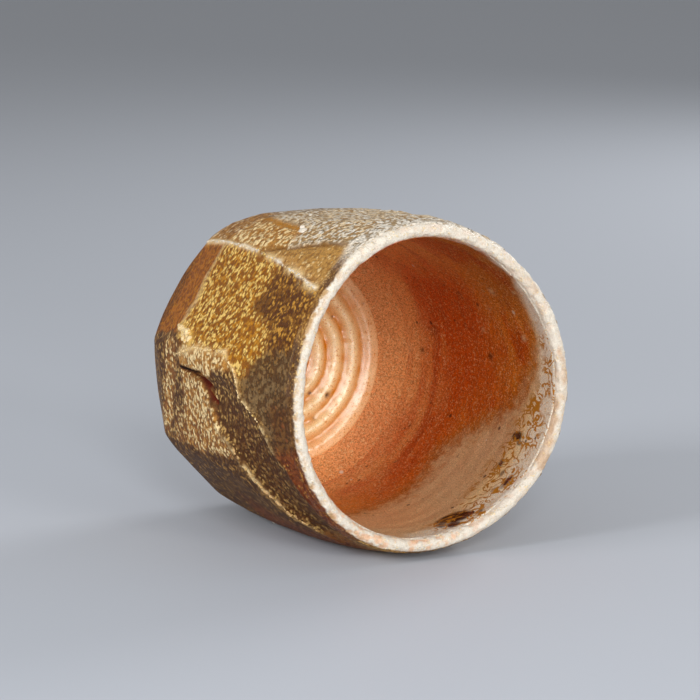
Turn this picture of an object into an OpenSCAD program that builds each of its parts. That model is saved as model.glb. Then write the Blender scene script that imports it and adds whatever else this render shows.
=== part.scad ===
// Wood-fired stoneware tea cup: a thrown barrel with knife-cut facets, a turned foot,
// an ash glaze outside, a thin inner glaze, a pool of glass on the floor and a white lip.
// The cup stands on its foot, +Z is its axis, and azimuths are counted from +X towards +Y.

/* [Wall] */
// Height of the wall, from the base edge to the top of the lip
wall_h = 81; // [60:0.5:110]
// Largest radius of the thrown barrel
belly_r = 41.9; // [36:0.1:54]
// Radius of the barrel at the lip
rim_r = 39.3; // [34:0.1:50]
// Radius where the barrel meets the base bevel
shoulder_r = 39.2; // [35:0.1:52]
// Height of that shoulder above the base edge
shoulder_h = 7.5; // [4:0.5:14]
// Radius of the base edge
base_r = 34.1; // [29:0.1:38]

/* [Well] */
// Thickness of the wall at the turn, under the deepest cut
wall_t = 3.7; // [3:0.1:6]
// Radius of the floor inside
floor_r = 28; // [22:0.5:30]
// Clay and glass between the base and the floor
floor_t = 7; // [5:0.5:12]
// Height above the floor at which the wall turns in
well_turn_h = 18; // [12:0.5:26]

/* [Foot] */
// Height of the foot ring
foot_h = 5; // [4.5:0.5:9]
// Outer radius of the foot ring where it stands
foot_r = 25; // [21:0.5:28]
// Width of the face that the ring stands on
foot_face_w = 4; // [2.5:0.1:6]
// Flare of the ring's sides, up to the base
foot_flare = 1.2; // [0:0.1:2]
// Bevel of the edges that the ring stands on
foot_bevel = 0.6; // [0.2:0.1:0.9]

/* [Glazes] */
// Thickness of the ash glaze outside
ash_t = 0.5; // [0.3:0.1:0.9]
// Thickness of the glaze inside
liner_t = 0.4; // [0.3:0.1:0.8]
// Thickness of the glass pool on the floor
pool_t = 1.1; // [0.8:0.1:2]
// Spacing of the throwing rings on the floor
ring_pitch = 5.2; // [4:0.1:9]
// Height of the throwing rings
ring_h = 0.6; // [0.2:0.1:0.7]
// Radius of the rolled lip
lip_r = 1.75; // [1.5:0.05:2.3]
// Thickness of the white glaze over the lip
lip_t = 0.7; // [0.4:0.1:1]
// How far the white glaze runs down from the lip
lip_skirt = 2.4; // [1.5:0.1:5]
// Radius of the raised runs of glaze along the ridges
run_r = 0.8; // [0.5:0.1:1.3]
// Radius of the beads of glaze that string along the knife sweep
bead_r = 0.7; // [0.5:0.1:1.2]

/* [Marks] */
// Radius of the largest white stone in the wall
stone_r = 1.5; // [0.8:0.1:2.2]
// Radius of the largest iron blister inside
blister_r = 1.4; // [0.8:0.1:1.8]
// Length of the tear in the wall
tear_l = 15.5; // [8:0.5:18]
// Width of the tear
tear_w = 1.6; // [0.8:0.1:2.4]
// Depth of the tear below the glaze
tear_d = 1.8; // [1:0.1:2.2]

/* [Hidden] */

$fn = 96;
overrun = 1;
height = foot_h + wall_h;
lip_z = height - lip_r;
white_z = lip_z - lip_skirt;
floor_z = foot_h + floor_t;
turn_z = floor_z + well_turn_h;
shoulder_z = foot_h + shoulder_h;
belly_z_share = 0.55;
belly_z = foot_h + belly_z_share * wall_h;
mouth_r = rim_r - 2 * lip_r;
widest_r = max(belly_r, rim_r);

// Facets round the wall: azimuth, reach from the axis at the lip as a share of the rim
// radius, reach at the middle as a share of the belly radius, and height of that middle as
// a share of the wall.
facet_shares = [
    [-28, 1.010, 0.935, 0.50],
    [10.5, 1.107, 0.930, 0.31],
    [48, 1.096, 0.947, 0.31],
    [95, 1.040, 0.935, 0.50],
    [139, 0.969, 0.930, 0.45],
    [186, 1.044, 0.955, 0.50],
    [230, 0.981, 0.932, 0.55],
    [276, 1.020, 0.942, 0.45],
];

// Bevels at the foot of the wall: azimuth, and lean of the normal. Each meets the base edge.
bevels = [
    [-28, -12],
    [9, -20],
    [47, -24],
    [93, -17],
    [140, -18],
    [186, -14],
    [231, -18],
    [276, -20],
];

// Flat cuts of the knife: azimuth, lean of the normal, reach, and height of that reach
cuts = concat(
    [for (f = facet_shares)
        let (reach = f[2] * belly_r, at_z = foot_h + f[3] * wall_h)
        [f[0], atan((reach - f[1] * rim_r) / (lip_z - at_z)), reach, at_z]],
    [for (b = bevels) [b[0], b[1], base_r, foot_h]]);
well_r = min([for (c = cuts) c[2] - (turn_z - c[3]) * tan(c[1])]) - wall_t;

// Slanting sweeps of the knife: azimuth and height share of the middle, slant, width of
// the sweep and its depth as shares of the radius that it follows.
sweep_shares = [
    [25, 0.76, 37, 0.40, 0.029],
    [162, 0.60, -28, 0.34, 0.022],
    [253, 0.66, 30, 0.30, 0.020],
];

// Bends of the raised runs of glaze and of the strings of beads: azimuth, and height as
// a share of the wall.
run_shares = [
    [[-49.1, 0.255], [-46.4, 0.528], [-43.6, 0.688], [-39.8, 0.851], [-37.8, 0.92]],
    [[-14.1, 0.276], [-9.7, 0.39]],
    [[-4.2, 0.303], [-7.7, 0.444], [-8.3, 0.53], [-8.5, 0.625]],
];
bead_shares = [
    [[-8.5, 0.65], [-3.6, 0.688], [5.9, 0.727], [12.9, 0.82], [22.7, 0.864], [41.5, 0.925]],
    [[9.4, 0.532], [18.5, 0.555], [25.2, 0.639], [34.6, 0.691], [44.3, 0.753], [59, 0.828]],
];

// Stones in the wall: azimuth, height as a share of the wall, radius as a share of stone_r.
stone_shares = [
    [-58.5, 0.645, 1.0],
    [-76, 0.42, 0.5],
    [71, 0.37, 0.55],
    [112, 0.62, 0.7],
    [193, 0.72, 0.85],
];

// Blisters inside: azimuth, height as a share of the wall, radius as a share of blister_r.
blister_shares = [
    [158.5, 0.85, 1.0],
    [145, 0.845, 0.8],
    [138.5, 0.905, 0.6],
    [115, 0.88, 1.0],
    [121, 0.905, 0.7],
];

// How far stones, runs, beads and blisters stand out, as a share of their own radius
rise_share = 0.45;

// Spacing of the beads along a string, as a share of their radius
bead_spacing_share = 3;

// How far a rod's centre stops short of a bend, as a share of its radius
run_gap_share = 1.1;

// The tear's two strokes: azimuth and height share of the middle, slant, and length as a
// share of tear_l.
tear_shares = [
    [1, 0.40, -3, 1.0],
    [5.5, 0.522, -55.6, 0.5],
];

clay_colour = [0.45, 0.27, 0.17];
ash_colour = [0.67, 0.49, 0.20];
inner_colour = [0.69, 0.38, 0.22];
pool_colour = [0.86, 0.69, 0.45];
white_colour = [0.93, 0.88, 0.80];
run_colour = [0.84, 0.73, 0.46];
stone_colour = [0.95, 0.94, 0.90];
iron_colour = [0.20, 0.09, 0.05];

profile_steps = 6;

// Radius of the thrown barrel at a height above the shoulder
function barrel_r(z) =
    z > belly_z
        ? belly_r - (belly_r - rim_r) * pow((z - belly_z) / (lip_z - belly_z), 2)
        : belly_r - (belly_r - shoulder_r) * pow((belly_z - z) / (belly_z - shoulder_z), 2);

// Radius of the well at a height above the floor, an ellipse up to the turn and then a cone
function inside_r(z) =
    z < turn_z
        ? floor_r + (well_r - floor_r) * sqrt(1 - pow((turn_z - z) / well_turn_h, 2))
        : well_r + (mouth_r - well_r) * (z - turn_z) / (lip_z - turn_z);

// Height of the floor's glass, which rises and falls with the throwing rings
function pool_z(r) = floor_z - ring_h * (1 - cos(360 * r / ring_pitch)) / 2;

function step_z(from_z, to_z, i) = from_z + (to_z - from_z) * i / profile_steps;

// Distances from the axis at which a ray at an azimuth and a height meets a flat cut
function cut_r(azimuth, z, c) =
    cos(azimuth - c[0]) > 0 ? [(c[2] - (z - c[3]) * tan(c[1])) / cos(azimuth - c[0])] : [];

// Radius of the knife's edge in a sweep, from half its width and its depth
function tool_r(half_w, depth) = (half_w * half_w + depth * depth) / (2 * depth);

// Distances from the axis at which a ray at an azimuth and a height meets a sweep, taken
// across its middle line as it lies on the unrolled barrel
function sweep_r(azimuth, z, s) =
    let (
        turn = azimuth - s[0],
        depth = s[4] * widest_r,
        along = asin(sin(turn)) * widest_r * PI / 180,
        across = (z - foot_h - s[1] * wall_h) * cos(s[2]) - along * sin(s[2]),
        edge_r = tool_r(s[3] * widest_r / 2, depth))
    cos(turn) > 0 ? [widest_r - depth + across * across / (2 * edge_r)] : [];

// Distance from the axis to the outside at an azimuth and a height, on whichever of the
// barrel and its cuts lies innermost
function outside_r(azimuth, z) =
    min(concat([barrel_r(z)],
        [for (s = sweep_shares) each sweep_r(azimuth, z, s)],
        [for (c = cuts) each cut_r(azimuth, z, c)]));

// Centre of a ball that stands out of the wall by its share, outside or inside the cup
function ball_outside(azimuth, z_share, r) =
    let (z = foot_h + z_share * wall_h, out = outside_r(azimuth, z) - (1 - rise_share) * r)
    [out * cos(azimuth), out * sin(azimuth), z];
function ball_inside(azimuth, z_share, r) =
    let (z = foot_h + z_share * wall_h, out = inside_r(z) + (1 - rise_share) * r)
    [out * cos(azimuth), out * sin(azimuth), z];

// Outer outline of the barrel, drawn in by the thickness of a coat
module barrel(inset) {
    rotate_extrude()
        polygon(concat(
            [[0, foot_h], [base_r - inset, foot_h]],
            [for (i = [0 : profile_steps]) let (z = step_z(shoulder_z, belly_z, i)) [barrel_r(z) - inset, z]],
            [for (i = [1 : profile_steps]) let (z = step_z(belly_z, lip_z, i)) [barrel_r(z) - inset, z]],
            [[0, lip_z]]));
}

// All that lies outside one flat cut, drawn in by the thickness of a coat
module beyond_cut(c, inset) {
    size = 3 * height;
    rotate([0, 0, c[0]])
        translate([c[2] - inset, 0, c[3]])
            rotate([0, -c[1], 0])
                translate([0, -size / 2, -size / 2])
                    cube([size, size, size]);
}

// Ring-shaped cutter of a slanting sweep, which follows the barrel's curve on the slant
module sweep_cutter(azimuth, z_share, slant, width_share, depth_share, inset) {
    depth = depth_share * widest_r;
    edge_r = tool_r(width_share * widest_r / 2, depth);
    bend_r = widest_r / pow(cos(slant), 2);
    rotate([0, 0, azimuth])
        translate([widest_r - bend_r, 0, foot_h + z_share * wall_h])
            rotate([slant, 0, 0])
                rotate_extrude()
                    translate([bend_r - depth + edge_r, 0])
                        circle(r = edge_r + inset);
}

// The cut barrel, drawn in by the thickness of a coat
module cut_barrel(inset) {
    difference() {
        barrel(inset);
        for (c = cuts)
            beyond_cut(c, inset);
        for (s = sweep_shares)
            sweep_cutter(s[0], s[1], s[2], s[3], s[4], inset);
    }
}

// The well above the floor, widened by the thickness of a coat
module well(outset) {
    rotate_extrude()
        polygon(concat(
            [[0, floor_z], [floor_r + outset, floor_z]],
            [for (i = [1 : profile_steps]) let (z = step_z(floor_z, turn_z, i)) [inside_r(z) + outset, z]],
            [[mouth_r + outset, lip_z], [mouth_r + outset, height + overrun], [0, height + overrun]]));
}

// Section of the lip from the white line up, drawn in by the thickness of a coat
module lip_section(inset) {
    translate([rim_r - lip_r, lip_z])
        circle(r = lip_r - inset);
    translate([mouth_r + inset, white_z])
        square([rim_r - mouth_r - 2 * inset, lip_skirt]);
}

module tear_cutter() {
    for (t = tear_shares) {
        z = foot_h + t[1] * wall_h;
        rotate([0, 0, t[0]])
            translate([outside_r(t[0], z), 0, z])
                rotate([t[2], 0, 0])
                    cube([2 * tear_d + 2 * ash_t, tear_w, t[3] * tear_l], center = true);
    }
}

module above_white_line() {
    translate([0, 0, white_z])
        cylinder(r = widest_r + overrun, h = height);
}

module stones() {
    for (s = stone_shares)
        translate(ball_outside(s[0], s[1], s[2] * stone_r))
            sphere(r = s[2] * stone_r);
}

module blisters() {
    for (b = blister_shares)
        translate(ball_inside(b[0], b[1], b[2] * blister_r))
            sphere(r = b[2] * blister_r);
}

// Rod with round ends, which stops just short of the two points on both sides
module run(from, to, r) {
    way = to - from;
    length = norm(way) - 2 * run_gap_share * r;
    translate(from + run_gap_share * r * way / norm(way))
        rotate([0, acos(way[2] / norm(way)), atan2(way[1], way[0])])
            rotate_extrude()
                intersection() {
                    union() {
                        circle(r = r);
                        translate([0, length])
                            circle(r = r);
                        square([r, length]);
                    }
                    translate([0, -r])
                        square([r, length + 2 * r]);
                }
}

// String of beads along a stretch between two places on the wall
module bead_string(from, to) {
    start = ball_outside(from[0], from[1], bead_r);
    end = ball_outside(to[0], to[1], bead_r);
    count = max(1, floor(norm(end - start) / (bead_spacing_share * bead_r)));
    for (i = [0 : count - 1]) {
        place = from + (to - from) * i / count;
        translate(ball_outside(place[0], place[1], bead_r))
            sphere(r = bead_r);
    }
}

module clay_body() {
    color(clay_colour)
        difference() {
            union() {
                difference() {
                    cut_barrel(ash_t);
                    above_white_line();
                }
                rotate_extrude()
                    lip_section(lip_t);
            }
            difference() {
                well(liner_t);
                above_white_line();
            }
            translate([0, 0, floor_z - pool_t])
                cylinder(r = floor_r, h = pool_t + overrun);
            stones();
            blisters();
            tear_cutter();
        }
}

module foot_ring() {
    inner_r = foot_r - foot_face_w;
    color(clay_colour)
        rotate_extrude()
            polygon([
                [inner_r + foot_bevel, 0],
                [foot_r - foot_bevel, 0],
                [foot_r, foot_bevel],
                [foot_r + foot_flare, foot_h],
                [inner_r - foot_flare, foot_h],
                [inner_r, foot_bevel],
            ]);
}

module ash_glaze() {
    color(ash_colour)
        difference() {
            cut_barrel(0);
            cut_barrel(ash_t);
            above_white_line();
            stones();
            tear_cutter();
        }
}

module inner_glaze() {
    color(inner_colour)
        difference() {
            well(liner_t);
            well(0);
            above_white_line();
            cylinder(r = floor_r, h = height);
            blisters();
        }
}

module floor_pool() {
    ring_steps = 4;
    last = floor(ring_steps * floor_r / ring_pitch);
    color(pool_colour)
        rotate_extrude()
            polygon(concat(
                [[0, floor_z - pool_t]],
                [for (i = [0 : last]) let (r = i * ring_pitch / ring_steps) [r, pool_z(r)]],
                [[floor_r, floor_z], [floor_r, floor_z - pool_t]]));
}

module lip_glaze() {
    color(white_colour)
        rotate_extrude()
            difference() {
                lip_section(0);
                lip_section(lip_t);
            }
}

module ridge_runs() {
    color(run_colour) {
        for (bends = run_shares)
            for (i = [1 : len(bends) - 1])
                run(
                    ball_outside(bends[i - 1][0], bends[i - 1][1], run_r),
                    ball_outside(bends[i][0], bends[i][1], run_r),
                    run_r);
        for (bends = bead_shares)
            for (i = [1 : len(bends) - 1])
                bead_string(bends[i - 1], bends[i]);
    }
}

module feldspar_stones() {
    color(stone_colour)
        stones();
}

module iron_blisters() {
    color(iron_colour)
        blisters();
}

clay_body();
foot_ring();
ash_glaze();
inner_glaze();
floor_pool();
lip_glaze();
ridge_runs();
feldspar_stones();
iron_blisters();
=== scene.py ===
"""Wood-fired stoneware tea cup: the looks of its clay, glazes, runs, stones and iron spots."""

import math

import bpy
import numpy as np
from bpy.props import FloatProperty, FloatVectorProperty, IntProperty, PointerProperty
from mathutils import Matrix, Vector


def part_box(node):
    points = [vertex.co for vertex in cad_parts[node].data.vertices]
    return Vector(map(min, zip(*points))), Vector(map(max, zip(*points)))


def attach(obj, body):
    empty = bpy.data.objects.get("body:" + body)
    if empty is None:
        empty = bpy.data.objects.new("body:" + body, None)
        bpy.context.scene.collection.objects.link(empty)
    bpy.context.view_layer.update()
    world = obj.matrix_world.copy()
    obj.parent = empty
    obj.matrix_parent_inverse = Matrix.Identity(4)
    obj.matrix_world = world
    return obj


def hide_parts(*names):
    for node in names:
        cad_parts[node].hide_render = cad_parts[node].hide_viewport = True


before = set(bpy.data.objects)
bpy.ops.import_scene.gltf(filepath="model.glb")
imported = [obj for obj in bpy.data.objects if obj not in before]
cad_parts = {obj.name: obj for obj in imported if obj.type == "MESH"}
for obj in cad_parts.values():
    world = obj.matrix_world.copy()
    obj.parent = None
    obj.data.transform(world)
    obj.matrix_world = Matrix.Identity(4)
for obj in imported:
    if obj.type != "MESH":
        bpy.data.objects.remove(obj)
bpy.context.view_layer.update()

bl_info = {
    "name": "Wood-fired tea cup",
    "version": (1, 0, 0),
    "blender": (4, 5, 0),
    "location": "3D View > Sidebar > Tea Cup",
    "description": "Models and glazes a knife-cut stoneware tea cup",
    "category": "Object",
}

MM = 0.001

# Sizes in millimetres, from the boxes of the CAD part where these tell them
FOOT_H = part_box("foot_ring")[1].z / MM
FOOT_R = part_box("foot_ring")[1].x / MM
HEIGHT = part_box("lip_glaze")[1].z / MM
RIM_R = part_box("lip_glaze")[1].x / MM
FLOOR_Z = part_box("floor_pool")[1].z / MM
FLOOR_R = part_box("floor_pool")[1].x / MM
WALL_H = HEIGHT - FOOT_H
LIP_R = 1.75
LIP_Z = HEIGHT - LIP_R
WHITE_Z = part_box("lip_glaze")[0].z / MM
BELLY_R = 41.9
BELLY_Z = FOOT_H + 0.55 * WALL_H
SHOULDER_R = 39.2
SHOULDER_Z = FOOT_H + 7.5
BASE_R = 34.1
WELL_R = 34.8
TURN_Z = FLOOR_Z + 18.0
MOUTH_R = RIM_R - 2 * LIP_R
# Radius at which the wall is laid flat
UNROLL_R = 40.0
# Depth of the main sweep of the knife, below the edges that it left
SWEEP_DEPTH = 1.25
# How far the hidden backs of the glazes lie under their faces
WALL_BACK = 1.1
WELL_BACK = 0.9
POOL_BACK = 1.0
# How far the clay lies under the cut wall and under the well's face
CLAY_UNDER_WALL = 0.8
CLAY_UNDER_WELL = 0.35
# Rounding of the cuts on faces that nothing shows
HIDDEN_ROUND = 0.3
FOOT_WIDTH = 6.4

# Knife-cut facets: azimuth, lean, reach as a share of the belly, height share of that reach
FACETS = (
    (-28, -0.75, 0.935, 0.50),
    (10.5, -4.8, 0.930, 0.31),
    (48, -3.6, 0.947, 0.31),
    (95, -2.5, 0.935, 0.50),
    (139, 1.2, 0.930, 0.45),
    (186, -1.5, 0.955, 0.50),
    (230, 0.8, 0.932, 0.55),
    (276, -0.8, 0.942, 0.45),
)
# Base bevels: azimuth, lean
BEVELS = (
    (-28, -12), (9, -20), (47, -24), (93, -17),
    (140, -18), (186, -14), (231, -18), (276, -20),
)
# Slanting sweeps on the far side: azimuth, height share, slant, width share, depth share
SWEEPS = ((162, 0.60, -28, 0.34, 0.022), (253, 0.66, 30, 0.30, 0.020))

# Lines on the wall, as azimuth and height share
WHITE_RIDGE = (
    (-50.5, 0.10), (-49.1, 0.255), (-47.8, 0.376), (-46.4, 0.528), (-43.6, 0.688),
    (-39.8, 0.851), (-37, 0.946),
)
GROOVE = ((-47.3, 0.558), (-49.4, 0.689), (-51.7, 0.747), (-54.6, 0.851), (-56.2, 0.896))
OCHRE_LINE = ((-64.3, 0.334), (-60.5, 0.479), (-58.6, 0.626))
SHORT_RIDGE = ((-14.1, 0.276), (-12.2, 0.345), (-9.7, 0.39))
FLAP_RIDGE = ((-4.2, 0.303), (-7.7, 0.444), (-8.5, 0.625))
UPPER_EDGE = (
    (-8.5, 0.625), (-3.6, 0.688), (0.8, 0.711), (5.9, 0.727), (9.3, 0.779), (12.9, 0.82),
    (17.6, 0.838), (22.7, 0.864), (29.4, 0.91), (41.5, 0.942),
)
LOWER_EDGE = (
    (9.4, 0.532), (15.1, 0.533), (18.5, 0.555), (21.7, 0.608), (25.2, 0.639), (29.8, 0.662),
    (34.6, 0.691), (39.6, 0.723), (44.3, 0.753), (49, 0.772), (53.3, 0.821), (59, 0.828),
)
SLIT = ((0.4, 0.307), (0.6, 0.395), (1.5, 0.46), (4.5, 0.505), (9.8, 0.56))

# The same lines, by the names of their marks
LINES = {
    "ridge": WHITE_RIDGE, "groove": GROOVE, "ochre": OCHRE_LINE, "short": SHORT_RIDGE,
    "flap": FLAP_RIDGE, "upper": UPPER_EDGE, "lower": LOWER_EDGE, "slit": SLIT,
}
# Raised lines: mark, rise as a share of the ridge rise, half width in millimetres
RAISED = (("ridge", 1.2, 0.65), ("upper", 0.8, 0.6), ("short", 1.1, 0.8), ("flap", 1.0, 0.55))
# Corners of the smooth field beside the white ridge, and of the flap above the tear
SMOOTH_FIELD = (
    (-47.3, 0.558), (-49.4, 0.689), (-51.7, 0.747), (-54.6, 0.851), (-58.5, 0.96), (-36.5, 0.96),
    (-43.6, 0.688),
)
FLAP = ((-8.3, 0.62), (-7.7, 0.444), (-4.2, 0.31), (0.2, 0.31), (0.6, 0.43), (3, 0.52), (-1, 0.66))


def shade(red, green, blue):
    """Linear colour from the 0 to 255 values that a colour picker shows."""
    return tuple(
        v / 255 / 12.92 if v <= 10 else ((v / 255 + 0.055) / 1.055) ** 2.4
        for v in (red, green, blue)
    )


def colour(name, description, rgb):
    """Colour setting of a glaze or of the clay."""
    return FloatVectorProperty(
        name=name, description=description, subtype="COLOR", size=3, min=0, max=1,
        default=shade(*rgb),
    )


def length(name, description, mm):
    """Length setting, written in millimetres and kept in metres."""
    return FloatProperty(
        name=name, description=description, default=mm * MM, unit="LENGTH", min=0, precision=5
    )


def power(name, description, watts):
    """Power setting of a lamp."""
    return FloatProperty(name=name, description=description, default=watts, unit="POWER")


class CupForm(bpy.types.PropertyGroup):
    """Sizes of the marks that knife, fire and ash left on the cup"""

    columns: IntProperty(name="Columns", description="Columns of faces round the wall", default=500)
    edge_round: length("Edge rounding", "How softly two cuts meet", 0.16)
    slit_depth: length("Slit depth", "Depth of the tear in the wall", 1.9)
    groove_depth: length("Groove depth", "Depth of the groove under the crust", 0.4)
    ridge_rise: length("Ridge rise", "How far glaze stands up along the ridges", 0.35)
    crust_relief: length("Crust relief", "Roughness of the ash crust", 0.28)
    mottle_relief: length("Mottle relief", "Rise of the cream mottles", 0.09)
    lip_relief: length("Lip relief", "Roughness of the white lip", 0.24)
    ring_rise: length("Ring rise", "Height of the throwing rings on the floor", 1.05)
    ring_pitch: length("Ring pitch", "Spacing of the throwing rings", 5.2)


class CupColours(bpy.types.PropertyGroup):
    """Colours of the clay and of the glazes"""

    clay: colour("Clay", "Bare clay, toasted by the flame", (132, 86, 58))
    ochre: colour("Ochre", "Golden ash on the lit facet", (180, 118, 16))
    gold: colour("Gold", "Flecks of thick golden ash", (234, 194, 108))
    cream: colour("Cream", "Flecks of thick ash", (240, 211, 156))
    brown: colour("Brown", "Thin ash over dark clay", (104, 62, 14))
    tan: colour("Tan", "Smooth thin ash", (176, 130, 64))
    amber: colour("Amber", "Flashed bevels", (168, 98, 16))
    toast: colour("Toast", "Brown under the cream flecks", (182, 128, 58))
    olive: colour("Olive", "Ash on the low side", (108, 72, 32))
    slate: colour("Grey brown", "Ash in the knife sweep", (112, 76, 36))
    grey: colour("Grey", "Grey ash near the rim", (120, 94, 60))
    stone: colour("Stone", "Flecks in the grey ash", (186, 146, 84))
    crust: colour("Crust", "Pale ash crust", (230, 206, 168))
    white: colour("White", "Glaze of the lip and the ridges", (226, 216, 200))
    rust: colour("Rust", "Red flash", (124, 56, 16))
    # The tear's dark red is partly its own colour and partly painted shade; the near black below is painted
    # shade, in the tear and in the crack inside
    ember: colour("Ember", "Inside of the tear", (84, 16, 0))
    crevice_shade: colour("Crevice shade", "Darkest part of the tear", (22, 8, 4))
    terracotta: colour("Terracotta", "Inner wall", (214, 124, 36))
    burnt: colour("Burnt orange", "Darker band of the inner wall", (198, 80, 0))
    blush: colour("Blush", "Pink wall near the floor", (236, 166, 108))
    honey: colour("Honey", "Crests of the floor's rings", (252, 222, 166))
    syrup: colour("Syrup", "Valleys of the floor's rings", (214, 134, 40))
    ash: colour("Grey cream", "Ash inside, below the lip", (216, 184, 140))
    worm: colour("Worm", "Thin ochre lines in the ash inside", (184, 122, 36))
    iron: colour("Iron", "Iron spots", (66, 26, 10))


class CupStage(bpy.types.PropertyGroup):
    """Floor, light and camera"""

    lens: FloatProperty(name="Lens", description="Focal length of the camera", default=151.8, unit="CAMERA")
    key: power("Key", "Power of the main lamp", 4.4)
    front: power("Front", "Power of the lamp at the camera's height", 2.6)
    fill: power("Fill", "Power of the second lamp", 7.0)
    side: power("Side", "Power of the lamp before the mouth", 4.4)
    back: power("Back", "Power of the lamp behind the cup", 4.8)
    sky: FloatProperty(name="Sky", description="Strength of the world's light", default=0.34)
    floor: colour("Floor", "Floor under the lying cup", (188, 193, 202))
    backdrop: colour("Backdrop", "What the camera sees behind the floor", (200, 202, 205))


# Noise and distances that the sculpting uses, in millimetres


def lattice(i, j, k, seed):
    """Repeatable value from -1 to 1 at each whole-numbered place."""
    n = (i * 73856093) ^ (j * 19349663) ^ (k * 83492791) ^ (seed * 2654435761)
    n = (n ^ (n >> 13)) & 0x7FFFFFFF
    n = (n * (n * n * 15731 + 789221) + 1376312589) & 0x7FFFFFFF
    return n / 1073741824.0 - 1.0


def grain(points, size, seed, octaves=1):
    """Smooth noise over points, from about -1 to 1, with features of the given size."""
    total, weight, norm = 0.0, 1.0, 0.0
    for o in range(octaves):
        p = points / size * 2 ** o + 1000.0
        cell = np.floor(p).astype(np.int64)
        f = p - cell
        f = f * f * (3 - 2 * f)
        value = 0.0
        for dx in (0, 1):
            for dy in (0, 1):
                for dz in (0, 1):
                    corner = lattice(cell[:, 0] + dx, cell[:, 1] + dy, cell[:, 2] + dz, seed + 31 * o)
                    share = (
                        (f[:, 0] if dx else 1 - f[:, 0])
                        * (f[:, 1] if dy else 1 - f[:, 1])
                        * (f[:, 2] if dz else 1 - f[:, 2])
                    )
                    value = value + corner * share
        total = total + weight * value
        norm += weight
        weight *= 0.5
    return total / norm


def ramp(low, high, value):
    """Smooth step from 0 at low to 1 at high."""
    t = np.clip((value - low) / (high - low), 0, 1)
    return t * t * (3 - 2 * t)


def bell(distance, width, steepness=2):
    """Hump of 1 on a line or a spot, that fades with the distance."""
    return np.exp(-((distance / width) ** steepness))


def around(azimuth, radius, z):
    """Points at azimuths in degrees, radii and heights."""
    turn = np.radians(azimuth)
    return np.stack([radius * np.cos(turn), radius * np.sin(turn), z], -1)


def share_of(z):
    """Height as a share of the wall."""
    return (z - FOOT_H) / WALL_H


def height_of(share):
    """Height in millimetres of a share of the wall."""
    return FOOT_H + share * WALL_H


def unrolled(azimuth, share):
    """Places on the wall laid flat, in millimetres."""
    return np.stack([np.radians(azimuth) * UNROLL_R, share * WALL_H], -1)


def bends_of(line):
    """The points of a line or a patch, laid flat."""
    return unrolled(*np.array(line, float).T)


def lengths_along(bends):
    """Length of each step of a line, and the length up to each of its bends."""
    steps = np.linalg.norm(np.diff(bends, axis=0), axis=1)
    return steps, np.concatenate([[0], np.cumsum(steps)])


def stroke(azimuth, share, line):
    """Distance to a line on the wall, and the place along it from 0 to 1."""
    here, bends = unrolled(azimuth, share), bends_of(line)
    steps, start = lengths_along(bends)
    best, along = np.full(len(azimuth), 1e9), np.zeros(len(azimuth))
    for i, step in enumerate(steps):
        way = (bends[i + 1] - bends[i]) / step
        off = here - bends[i]
        t = np.clip(off @ way, 0, step)
        gap = np.linalg.norm(off - t[:, None] * way, axis=1)
        nearer = gap < best
        best = np.where(nearer, gap, best)
        along = np.where(nearer, (start[i] + t) / start[-1], along)
    return best, along


def patch(azimuth, share, corners, feather):
    """Mask of a patch on the wall, 1 inside and 0 beyond its feathered edge."""
    gap, _ = stroke(azimuth, share, corners + corners[:1])
    here, points = unrolled(azimuth, share), bends_of(corners)
    inside = np.zeros(len(azimuth), bool)
    for a, b in zip(points, np.roll(points, -1, 0)):
        crosses = (a[1] > here[:, 1]) != (b[1] > here[:, 1])
        rise = b[1] - a[1] if b[1] != a[1] else 1e-9
        inside ^= crosses & (here[:, 0] < (b[0] - a[0]) * (here[:, 1] - a[1]) / rise + a[0])
    return ramp(-feather, feather, np.where(inside, gap, -gap))


def swell(azimuth, z):
    """How far the rim is out of round, most at the top."""
    a = np.radians(azimuth)
    out = 0.75 * np.cos(3 * (a - np.radians(-68))) + 0.45 * np.cos(2 * (a - np.radians(-95)))
    return (out - 0.1) * ramp(38, LIP_Z, z)


def barrel_radius(z):
    """Radius of the barrel before the knife."""
    above = ((z - BELLY_Z) / (LIP_Z - BELLY_Z)) ** 2
    below = ((BELLY_Z - z) / (BELLY_Z - SHOULDER_Z)) ** 2
    foot = BASE_R + (SHOULDER_R - BASE_R) * (z - FOOT_H) / (SHOULDER_Z - FOOT_H)
    body = np.where(
        z > BELLY_Z, BELLY_R - (BELLY_R - RIM_R) * above, BELLY_R - (BELLY_R - SHOULDER_R) * below
    )
    return np.where(z < SHOULDER_Z, foot, body)


def cut_radius(azimuth, z, soft):
    """Radius of the barrel after the knife, with edges rounded by soft."""
    uncut = 99.0
    layers = [barrel_radius(z)]

    def plane(at, lean, reach, at_z):
        facing = np.cos(np.radians(azimuth - at))
        r = (reach - (z - at_z) * math.tan(math.radians(lean))) / np.maximum(facing, 0.2)
        layers.append(np.where(facing > 0.2, r, uncut))

    for at, lean, reach, high in FACETS:
        plane(at, lean, reach * BELLY_R, height_of(high))
    for at, lean in BEVELS:
        plane(at, lean, BASE_R, FOOT_H)
    for at, high, slant, wide, deep in SWEEPS:
        depth, half = deep * BELLY_R, wide * BELLY_R / 2
        tool = (half * half + depth * depth) / (2 * depth)
        turn = (azimuth - at + 180) % 360 - 180
        across = (z - height_of(high)) * math.cos(math.radians(slant))
        across = across - np.radians(turn) * BELLY_R * math.sin(math.radians(slant))
        bow = np.sqrt(np.maximum(tool ** 2 - across ** 2, 0))
        layers.append(np.where(np.abs(turn) < 70, BELLY_R - depth + tool - bow, uncut))
    stack = np.array(layers)
    low = stack.min(0)
    return low - soft * np.log(np.exp(-(stack - low) / soft).sum(0))


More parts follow.
